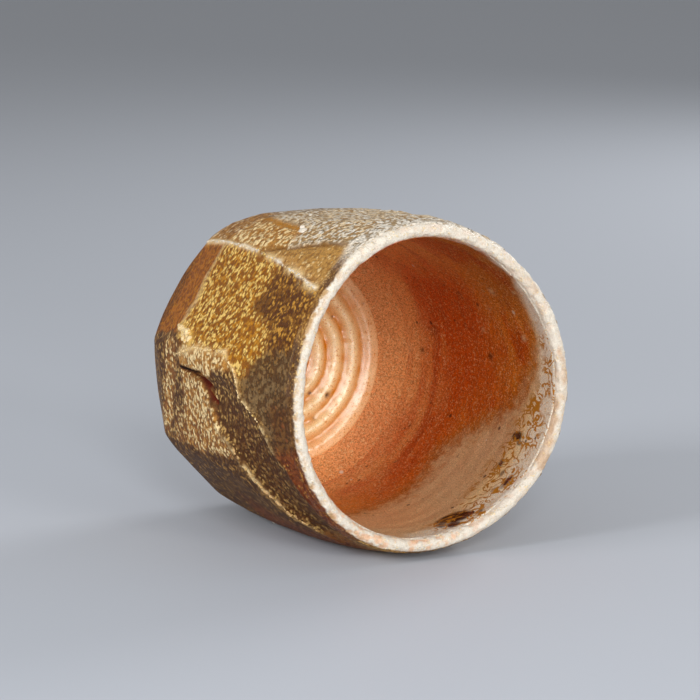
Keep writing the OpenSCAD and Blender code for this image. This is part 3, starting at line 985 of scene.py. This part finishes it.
class CUP_OT_well(bpy.types.Operator):
    """Throws the glazed wall of the well"""

    bl_idname = "cup.well"
    bl_label = "Inner glaze"

    def execute(self, context):
        hues = context.scene.cup_colours
        low = FLOOR_Z - 0.25
        curve = np.linspace(0, 1, 36)[:-1]
        low_z = [TURN_Z - (TURN_Z - FLOOR_Z) * math.cos(math.pi / 2 * t) for t in curve]
        skin_tag, back_tag = 30.0, 31.0
        section = [(skin_tag, z) for z in [low] + low_z + list(np.linspace(TURN_Z, LIP_Z, 108))]
        section += [(back_tag, z) for z in np.linspace(LIP_Z, low, 9)]
        well = thrown("well_glaze", section, columns=440)
        azimuth, tag, z = places_of(well)
        azimuth = crowd(azimuth, 0.25, 175)
        r = inside_form(azimuth, np.maximum(z, FLOOR_Z))
        spot = around(azimuth, r, z)
        relief = 0.10 * grain(spot, 2.2, 111, 2) + 0.12 * grain(spot * (0.4, 0.4, 1), 6, 113, 2)
        relief = relief + 0.045 * np.sin(2 * math.pi * z / 6.3 + 0.02 * azimuth)
        share, round_az = share_of(z), azimuth % 360
        paint, dents = paint_well(round_az, share, spot, hues)
        skin = r + relief * ramp(FLOOR_Z, FLOOR_Z + 4, z) + dents
        move_to(well, azimuth, np.where(tag < (skin_tag + back_tag) / 2, skin, r + WELL_BACK), z)
        store_all(well, paint)
        web = patch(round_az, share + 0.02 * grain(spot, 5, 141, 2), WORMS, 2)
        store(well, "worms", web * ramp(-0.5, -0.05, grain(spot, 5.5, 143, 2)))
        finish_piece(well, well_material(hues), "inner_glaze", "inner_glaze")
        return {"FINISHED"}


# Small marks inside: azimuth, height share, radius in millimetres, depth, tone from dark to pale
DENTS = (
    (188.3, 0.629, 1.1, 0.25, -0.8), (195.5, 0.31, 1.9, 0.25, -0.35), (220.0, 0.773, 1.2, -0.2, 0.9),
    (221.5, 0.907, 0.7, -0.2, 0.9), (199.7, 0.618, 0.8, -0.15, 0.6), (198.7, 0.843, 1.0, -0.15, 0.8),
    (149.2, 0.123, 1.5, 0.3, 0.5), (185.5, 0.235, 0.9, 0.2, -0.7), (215, 0.55, 1.3, 0.15, -0.4),
    (152, 0.26, 0.6, 0.1, -0.8), (134, 0.31, 0.6, 0.1, -0.7), (228, 0.44, 0.5, 0.1, -0.6),
    (205, 0.38, 0.4, 0.1, -0.6), (171, 0.20, 0.5, 0.1, -0.7), (144, 0.60, 0.5, 0.1, -0.6),
    (160, 0.44, 0.6, 0.1, -0.6), (235, 0.62, 0.5, 0.1, -0.5), (210, 0.70, 0.6, -0.1, 0.5),
    (186, 0.17, 2.0, 0.1, 0.3), (240, 0.30, 0.6, 0.1, -0.6), (178, 0.72, 0.5, 0.1, -0.5),
)
# The burnt band of the wall, and the crack near the floor
BURNT_BAND = ((110, 0.30), (108, 0.47), (160, 0.52), (172, 0.72), (230, 0.62), (235, 0.36), (170, 0.30))
CRACK = ((183.8, 0.130), (185.2, 0.118), (186.6, 0.112))
# Ash below the lip, and the part of it that ochre worms cross
ASH = (
    (62, 0.70), (75, 0.62), (95, 0.56), (110, 0.54), (128, 0.53), (142, 0.50), (151, 0.56), (160, 0.66),
    (168, 0.76), (178, 0.85), (192, 0.905), (215, 0.95), (240, 0.965), (240, 1.2), (62, 1.2),
)
WORMS = (
    (100, 0.86), (112, 0.83), (128, 0.80), (140, 0.765), (166, 0.80), (178, 0.88), (205, 0.93), (205, 1.0),
    (100, 1.0),
)
# White glaze that ran inwards over the lip on the low side
RIM_WHITE = (
    (88, 0.92), (112, 0.865), (124, 0.835), (140, 0.815), (152, 0.83), (165, 0.85), (180, 0.88), (200, 0.915),
    (225, 0.94), (225, 1.2), (88, 1.2),
)
# Smears of iron: azimuth, height share, half width and half height in millimetres, strength
SMEARS = (
    (158.4, 0.843, 1.5, 2.3, 1.0), (156.0, 0.868, 0.8, 1.2, 0.8), (145.1, 0.834, 2.0, 1.1, 0.75),
    (141.5, 0.872, 1.3, 0.9, 0.7), (138.5, 0.925, 2.6, 1.3, 0.7), (110.5, 0.875, 3.2, 2.0, 0.9),
    (115.5, 0.915, 3.0, 2.0, 1.0), (108.5, 0.945, 2.2, 1.6, 0.9), (104.5, 0.905, 1.8, 1.8, 0.8),
    (120.5, 0.945, 1.6, 1.0, 0.8), (133, 0.90, 1.2, 0.8, 0.5), (112, 0.895, 4.6, 3.6, 1.0),
)


def paint_well(azimuth, share, spot, hues):
    """Paint and dents of the inner wall."""
    a = azimuth + 2.2 * grain(spot, 5, 121, 3)
    s = share + 0.03 * grain(spot, 6, 123, 3)
    broad, streak = grain(spot, 14, 125, 3), grain(spot * (0.35, 0.35, 1.6), 5, 129, 3)
    reach = patch(a, s, ASH, 9.0)
    ash = ramp(0.15, 0.9, reach + 0.4 * grain(spot, 1.3, 147, 3))
    paint = plain_paint(len(azimuth), hues.terracotta, hues.honey, flecks=0.4, gaps=0.36, gloss=0.4)
    tint(
        paint, hues,
        ("burnt", ramp(-0.25, 0.35, broad + 0.9 * streak)),
        ("burnt", 0.85 * patch(a, s + 0.05 * streak, BURNT_BAND, 10)),
        ("blush", 0.75 * ramp(0.44, 0.12, s + 0.1 * streak + 0.06 * broad)),
        # Pink low on the wall past azimuth 215: partly its own pink, partly painted light where the lamps
        # leave the well in shade
        ("blush", 0.8 * ramp(215, 262, azimuth) * ramp(0.8, 0.45, s)),
        ("rust", 0.4 * ramp(0.62, 0.9, s) * ramp(200, 225, azimuth) * ramp(285, 255, azimuth)),
        ("rust", 0.32 * ramp(0.15, 0.5, streak) * ramp(0.25, 0.4, s)),
        ("amber", 0.6 * ramp(0.05, 0.4, reach) * ramp(1.0, 0.6, reach)),
        ("ash", 0.85 * ash),
        ("blush", 0.4 * ash * ramp(125, 100, azimuth) * ramp(0.9, 0.75, s)),
    )
    paint["fleck"] = paint["ground"] + (paint["fleck"] - paint["ground"]) * 0.42
    rim_white = patch(a, s + 0.02 * streak, RIM_WHITE, 2.5)
    white = ramp(0.0, 0.03, s - 0.945 + 0.012 * grain(spot, 2, 149, 2)) * ramp(285, 240, azimuth)
    tint(
        paint, hues,
        ("cream", 0.85 * rim_white),
        ("white", 0.85 * rim_white * ramp(0.85, 0.92, s)),
        ("white", 0.9 * white),
    )
    lay(paint, 0.8 * np.maximum(ash * 0.7, np.maximum(white, rim_white)), gaps=0)
    dents = np.zeros(len(azimuth))
    here = unrolled(azimuth, share)
    for at, high, radius, depth, tone in DENTS:
        near = bell(np.linalg.norm(here - unrolled(at, high), axis=1), radius, 2.5)
        dents = dents + depth * near
        tint(paint, hues, ("iron" if tone < 0 else "ash", abs(tone) * near))
    ragged = 0.35 * grain(spot, 1.6, 145, 3)
    for at, high, wide, tall, strength in SMEARS:
        off = (here - unrolled(at, high)) / (wide, tall)
        near = ramp(1.2, 0.7, np.linalg.norm(off, axis=1) + ragged) * strength
        lay(paint, near, ground=hues.iron, flecks=0)
        dents = dents - 0.12 * near
    crack, _ = stroke(azimuth, share, CRACK)
    # The crack is painted near black: painted shade in the crack
    tint(paint, hues, ("crevice_shade", bell(crack, 0.3)))
    return paint, dents + 0.4 * bell(crack, 0.35)


# Pits in the floor's glass: x, y, radius and depth in millimetres
PITS = (
    (-13.4, 9.8, 0.8, 0.8), (-8.2, 9.2, 0.6, 0.4), (-13.9, -10.9, 0.5, 0.3), (-22.5, -14.5, 0.5, 0.3),
    (-10, 16, 0.5, 0.3),
)


class CUP_OT_floor(bpy.types.Operator):
    """Pours the glass over the ringed floor"""

    bl_idname = "cup.floor"
    bl_label = "Floor glass"

    def execute(self, context):
        form, hues = context.scene.cup_form, context.scene.cup_colours
        low, out = FLOOR_Z - POOL_BACK, FLOOR_R + 0.6
        radii = np.linspace(0, out, 86)
        section = [(x, FLOOR_Z) for x in radii] + [(x, low) for x in radii[::-12]] + [(0.0, low)]
        pool = thrown("floor_glass", section, columns=320)
        azimuth, radius, z = places_of(pool)
        spot = around(azimuth, radius, z)
        wander = 0.35 * grain(spot, 9, 131, 2)
        wave = (1 - np.cos(2 * math.pi * (radius + wander) / (form.ring_pitch / MM))) / 2
        ringed = ramp(FLOOR_R - 0.6, FLOOR_R - 3.5, radius)
        relief = form.ring_rise / MM * (0.3 - wave) * ringed + 0.14 * grain(spot, 1.3, 133, 2)
        pit = sum(deep * bell(np.hypot(spot[:, 0] - x, spot[:, 1] - y), size) for x, y, size, deep in PITS)
        edge = 0.3 * ramp(FLOOR_R - 3, FLOOR_R - 0.8, radius) - 0.7 * ramp(FLOOR_R - 0.2, out, radius)
        top = z > FLOOR_Z - POOL_BACK / 2
        move_to(pool, azimuth, radius, np.where(top, FLOOR_Z + relief + edge - pit, z))
        paint = plain_paint(len(radius), hues.honey, hues.syrup, flecks=0.4, gaps=0.0, gloss=0.15)
        wave = wave * ringed
        tint(
            paint, hues,
            ("syrup", wave ** 1.3 * (0.85 + 0.4 * grain(spot, 3, 135, 2))),
            ("blush", 0.6 * ramp(22, 28, radius + 3 * grain(spot, 5, 137, 2))),
            ("iron", np.clip(pit * 1.3, 0, 1)),
        )
        paint["flecks"] = 0.42 - 0.2 * wave
        store_all(pool, paint)
        material = glaze_material(
            "Floor glass", size=0.0009, rise=0.00004, grain_share=0.26, shine=1.0, softness=0.2
        )
        finish_piece(pool, material, "floor_pool", "floor_pool")
        return {"FINISHED"}


def wall_place(azimuth, share, form, rise):
    """Points on the outside, lifted by rise."""
    azimuth, share = np.atleast_1d(azimuth).astype(float), np.atleast_1d(share).astype(float)
    z = height_of(share)
    r, _ = wall_form(azimuth, z, form)
    return around(azimuth, r + rise, z)


def beads_along(line, gap, form, draw, low, high):
    """Places and sizes of beads strung along a line on the wall."""
    _, start = lengths_along(bends_of(line))
    at = np.arange(0, start[-1], gap)
    line_a, line_s = np.array(line).T
    azimuth = np.interp(at, start, line_a) + draw.uniform(-0.35, 0.35, len(at))
    share = np.interp(at, start, line_s) + draw.uniform(-0.002, 0.002, len(at))
    size = draw.uniform(low, high, len(at))
    return wall_place(azimuth, share, form, -0.35 * size), size


def ball(subdivisions):
    """Round mesh to make a bead or a lump from."""
    clear_selection()
    bpy.ops.mesh.primitive_ico_sphere_add(subdivisions=subdivisions, radius=1)
    return bpy.context.object


def melt(name, places, sizes, voxel):
    """Beads of glaze melted into one piece: small balls, joined and remeshed."""
    seed = ball(2)
    unit = corners_of(seed)
    faces = np.array([list(p.vertices) for p in seed.data.polygons])
    bpy.data.objects.remove(seed)
    points = (places[:, None, :] + unit[None] * sizes[:, None, None]).reshape(-1, 3) * MM
    rows = (faces[None] + (np.arange(len(places)) * len(unit))[:, None, None]).reshape(-1, 3)
    mesh = bpy.data.meshes.new(name)
    mesh.from_pydata(points.tolist(), [], rows.tolist())
    piece = bpy.data.objects.new(name, mesh)
    bpy.context.collection.objects.link(piece)
    clear_selection()
    piece.select_set(True)
    bpy.context.view_layer.objects.active = piece
    for kind, settings in (
        ("REMESH", {"mode": "VOXEL", "voxel_size": voxel * MM}),
        ("SMOOTH", {"factor": 0.5, "iterations": 4}),
    ):
        change = piece.modifiers.new(kind.title(), kind)
        for key, value in settings.items():
            setattr(change, key, value)
        bpy.ops.object.modifier_apply(modifier=change.name)
    bpy.ops.object.shade_smooth()
    return piece


# Strings of beads: line, gap, least and greatest radius
STRINGS = (
    (WHITE_RIDGE, 0.5, 0.12, 0.42),
    (SHORT_RIDGE, 0.7, 0.4, 0.85),
    (FLAP_RIDGE, 0.6, 0.15, 0.45),
    (UPPER_EDGE[:6], 0.6, 0.15, 0.45),
    (LOWER_EDGE[4:], 0.75, 0.15, 0.5),
)
# Single beads: azimuth, height share, radius
BEADS = (
    (-13.4, 0.30, 1.0), (-11.6, 0.325, 0.9), (-12.6, 0.35, 1.1), (-10.6, 0.385, 0.8), (-9.2, 0.36, 0.7),
    (-10, 0.34, 0.9),
)


class CUP_OT_runs(bpy.types.Operator):
    """Strings beads of melted ash along the ridges"""

    bl_idname = "cup.runs"
    bl_label = "Runs and beads"

    def execute(self, context):
        form, hues = context.scene.cup_form, context.scene.cup_colours
        draw = np.random.default_rng(7)
        strings = [beads_along(line, gap, form, draw, low, high) for line, gap, low, high in STRINGS]
        at, high, size = np.array(BEADS).T
        strings.append((wall_place(at, high, form, -0.3), size))
        places, sizes = (np.concatenate(values) for values in zip(*strings))
        runs = melt("melted_runs", places, sizes, voxel=0.17)
        azimuth, _, z = places_of(runs)
        share, spot = share_of(z), around(azimuth, UNROLL_R, z)
        paint = plain_paint(len(azimuth), hues.cream, hues.gold, flecks=0.5, gaps=0.4, gloss=0.3)
        ridge, _ = stroke(azimuth, share, WHITE_RIDGE)
        tint(paint, hues, ("white", ramp(4, 2, ridge) * ramp(-0.5, 0.0, grain(spot, 3, 151, 2))))
        for edge in (LOWER_EDGE, UPPER_EDGE):
            away, _ = stroke(azimuth, share, edge)
            near = 0.6 * ramp(3, 1.5, away) * ramp(14, 24, azimuth)
            lay(paint, near, ground=hues.toast, fleck=hues.stone)
        store_all(runs, paint)
        material = glaze_material("Melted runs", size=0.0012, rise=0.0001, grain_share=0.2, shine=0.5)
        finish_piece(runs, material, "ridge_runs", "ridge_runs")
        return {"FINISHED"}


def lump(name, place, facing, size, flat, seed, rough):
    """Rough lump pressed flat against the wall, facing 1 for outwards and -1 for inwards."""
    piece = ball(4)
    piece.name = piece.data.name = name
    co = corners_of(piece)
    co = co * (1 + rough * grain(co, 0.9, seed, 2))[:, None]
    out = facing * np.array((place[0], place[1], 0)) / math.hypot(place[0], place[1])
    side = np.cross((0, 0, 1), out)
    axes = np.array((out * flat, side * size[0], (0, 0, size[1])))
    set_corners(piece, co @ axes + place)
    bpy.ops.object.shade_smooth()
    return piece


def join(name, parts):
    """Makes one object of several."""
    clear_selection()
    for part in parts:
        part.select_set(True)
    bpy.context.view_layer.objects.active = parts[0]
    bpy.ops.object.join()
    whole = bpy.context.object
    whole.name = whole.data.name = name
    return whole


# What the stones and the iron have in common
SPOT_COAT = {"Size": 0.0012, "Flecks": 0.5, "Gaps": 0.2, "Grain": 0.2}
SPOT_RISE = 0.0001
# Stones in the wall: azimuth, height share, half width, half height, sink in millimetres
STONES = (
    (-58.3, 0.652, 1.0, 1.45, 0.15), (-76, 0.42, 0.6, 0.6, 0.45), (71, 0.37, 0.6, 0.6, 0.45),
    (112, 0.62, 0.9, 0.9, 0.45), (193, 0.72, 1.1, 1.0, 0.45), (-59.6, 0.632, 0.7, 0.7, 0.15),
)
# Iron spots inside: azimuth, height share, half width, half height in millimetres
IRON_SPOTS = (
    (158.4, 0.843, 0.9, 1.5), (145.1, 0.834, 1.2, 0.6), (138.5, 0.925, 1.5, 0.7), (111, 0.88, 2.0, 1.2),
    (116, 0.918, 2.0, 1.3), (107.5, 0.935, 1.4, 1.3),
)


class CUP_OT_stones(bpy.types.Operator):
    """Sets the half-melted white stones in the wall"""

    bl_idname = "cup.stones"
    bl_label = "Feldspar stones"

    def execute(self, context):
        form, hues = context.scene.cup_form, context.scene.cup_colours
        parts = []
        for i, (at, high, wide, tall, sink) in enumerate(STONES):
            place = wall_place(at, high, form, -sink)[0]
            parts.append(lump(f"stone_{i}", place, 1, (wide, tall), flat=0.75, seed=200 + i, rough=0.16))
        stones = join("feldspar_stones_set", parts)
        material = plain_material("Feldspar", hues.white, hues.white, SPOT_RISE, 0.28, SPOT_COAT)
        finish_piece(stones, material, "feldspar", "feldspar_stones")
        return {"FINISHED"}


class CUP_OT_iron(bpy.types.Operator):
    """Melts iron spots into the glaze inside"""

    bl_idname = "cup.iron"
    bl_label = "Iron spots"

    def execute(self, context):
        hues = context.scene.cup_colours
        parts = []
        for i, (at, high, wide, tall) in enumerate(IRON_SPOTS):
            z = height_of(high)
            r = float(inside_form(np.array([at]), np.array([z]))[0]) + 0.05
            place = around(at, r, z)
            parts.append(lump(f"iron_{i}", place, -1, (wide, tall), flat=0.28, seed=300 + i, rough=0.5))
        iron = join("iron_spots", parts)
        material = plain_material("Iron spots", hues.iron, hues.rust, SPOT_RISE, 0.35, SPOT_COAT)
        finish_piece(iron, material, "iron", "iron_blisters")
        return {"FINISHED"}


# Stage: the cup lies on the facet at azimuth 95, so the floor is that facet's plane

FLOOR_FACET = FACETS[3]
# The camera's place in metres, the way it looks and the way that is up in the picture
EYE = Vector((0.37065, -0.07085, 0.68226))
LOOK = Vector((-0.50104, 0.08823, -0.86092))
UP = Vector((0.0, -0.99479, -0.10195))
# Lamps: name, way to it as right, up and towards the camera, width in metres
LAMPS = (
    ("key", (0.12, 0.28, 0.95), 0.34),
    ("front", (0.24, -0.04, 0.97), 0.3),
    ("fill", (-0.78, 0.33, 0.53), 0.5),
    ("side", (0.65, 0.05, 0.76), 0.26),
    ("back", (0.6, 0.5, -0.62), 0.5),
)
LAMP_DISTANCE = 1.15
# Gap between the cup and the floor that it lies on
FLOOR_GAP = 0.1 * MM


class CUP_OT_stage(bpy.types.Operator):
    """Lays the floor, and sets the lamps, the world and the camera"""

    bl_idname = "cup.stage"
    bl_label = "Stage"

    def execute(self, context):
        stage, scene = context.scene.cup_stage, context.scene
        at, lean, reach, high = FLOOR_FACET
        turn, tip = math.radians(at), math.radians(lean)
        out = Vector((math.cos(turn) * math.cos(tip), math.sin(turn) * math.cos(tip), math.sin(tip)))
        contact = Vector((math.cos(turn), math.sin(turn), 0)) * reach * BELLY_R * MM
        contact.z = height_of(high) * MM
        clear_selection()
        bpy.ops.mesh.primitive_plane_add(size=12)
        floor = context.object
        floor.name = "floor"
        floor.rotation_mode = "QUATERNION"
        floor.rotation_quaternion = (-out).to_track_quat("Z", "Y")
        floor.location = contact + out * FLOOR_GAP
        bpy.ops.object.transform_apply(location=True, rotation=True, scale=True)
        material, add, maths = new_material("Floor")
        surface = add("ShaderNodeBsdfPrincipled", {
            "Base Color": four(stage.floor), "Roughness": 0.6, "Specular IOR Level": 0.3,
        })
        # From below the floor is clear, and it lets half of the sky's diffuse light through, so
        # that the side of the cup that lies on it can be seen
        half = maths("MULTIPLY", add("ShaderNodeLightPath").outputs["Is Diffuse Ray"], 0.5)
        share = maths("MAXIMUM", half, add("ShaderNodeNewGeometry").outputs["Backfacing"])
        clear = add("ShaderNodeBsdfTransparent")
        both = add("ShaderNodeMixShader", {0: share, 1: surface.outputs[0], 2: clear.outputs[0]})
        add("ShaderNodeOutputMaterial", {"Surface": both.outputs[0]})
        floor.data.materials.append(material)

        right = LOOK.cross(UP)
        middle = Vector((0, 0, 0.045))
        for name, (x, y, near), size in LAMPS:
            way = x * right + y * UP - near * LOOK
            lamp = bpy.data.lights.new(name, "AREA")
            lamp.shape, lamp.size, lamp.energy = "DISK", size, getattr(stage, name)
            holder = bpy.data.objects.new(name, lamp)
            holder.location = middle + way.normalized() * LAMP_DISTANCE
            holder.rotation_mode = "QUATERNION"
            holder.rotation_quaternion = (middle - holder.location).to_track_quat("-Z", "Y")
            scene.collection.objects.link(holder)

        # The camera sees the backdrop, and the cup is lit by plain white
        world = bpy.data.worlds.new("Studio")
        scene.world = world
        world.use_nodes = True
        world.node_tree.nodes.clear()
        add, _ = node_tools(world.node_tree)
        light = add("ShaderNodeBackground", {"Color": (1, 1, 1, 1), "Strength": stage.sky})
        seen = add("ShaderNodeBackground", {"Color": four(stage.backdrop), "Strength": 1.0})
        share = add("ShaderNodeLightPath").outputs["Is Camera Ray"]
        both = add("ShaderNodeMixShader", {0: share, 1: light.outputs[0], 2: seen.outputs[0]})
        add("ShaderNodeOutputWorld", {"Surface": both.outputs[0]})

        camera = bpy.data.cameras.new("camera")
        camera.lens, camera.sensor_width = stage.lens, 36.0
        camera.clip_start, camera.clip_end = 0.01, 30
        holder = bpy.data.objects.new("camera", camera)
        turned = Matrix((right, UP, -LOOK)).transposed()
        holder.matrix_world = Matrix.Translation(EYE) @ turned.to_4x4()
        scene.collection.objects.link(holder)
        scene.camera = holder
        scene.view_settings.view_transform = "Standard"
        return {"FINISHED"}


class CUP_PT_panel(bpy.types.Panel):
    """Buttons for each piece of the cup"""

    bl_idname = "CUP_PT_panel"
    bl_label = "Tea Cup"
    bl_space_type = "VIEW_3D"
    bl_region_type = "UI"
    bl_category = "Tea Cup"

    def draw(self, context):
        for operator in OPERATORS:
            self.layout.operator(operator.bl_idname)
        for group in (context.scene.cup_form, context.scene.cup_colours, context.scene.cup_stage):
            for name in group.__annotations__:
                self.layout.prop(group, name)


OPERATORS = (
    CUP_OT_stage, CUP_OT_clay, CUP_OT_wall, CUP_OT_well, CUP_OT_floor, CUP_OT_lip, CUP_OT_runs,
    CUP_OT_stones, CUP_OT_iron,
)
CLASSES = (CupForm, CupColours, CupStage, CUP_PT_panel) + OPERATORS


def register():
    for item in CLASSES:
        bpy.utils.register_class(item)
    bpy.types.Scene.cup_form = PointerProperty(type=CupForm)
    bpy.types.Scene.cup_colours = PointerProperty(type=CupColours)
    bpy.types.Scene.cup_stage = PointerProperty(type=CupStage)


def unregister():
    del bpy.types.Scene.cup_stage, bpy.types.Scene.cup_colours, bpy.types.Scene.cup_form
    for item in reversed(CLASSES):
        bpy.utils.unregister_class(item)


def main():
    register()
    bpy.ops.cup.stage()
    bpy.ops.cup.clay()
    bpy.ops.cup.wall()
    bpy.ops.cup.well()
    bpy.ops.cup.floor()
    bpy.ops.cup.lip()
    bpy.ops.cup.runs()
    bpy.ops.cup.stones()
    bpy.ops.cup.iron()


if __name__ == "__main__":
    main()
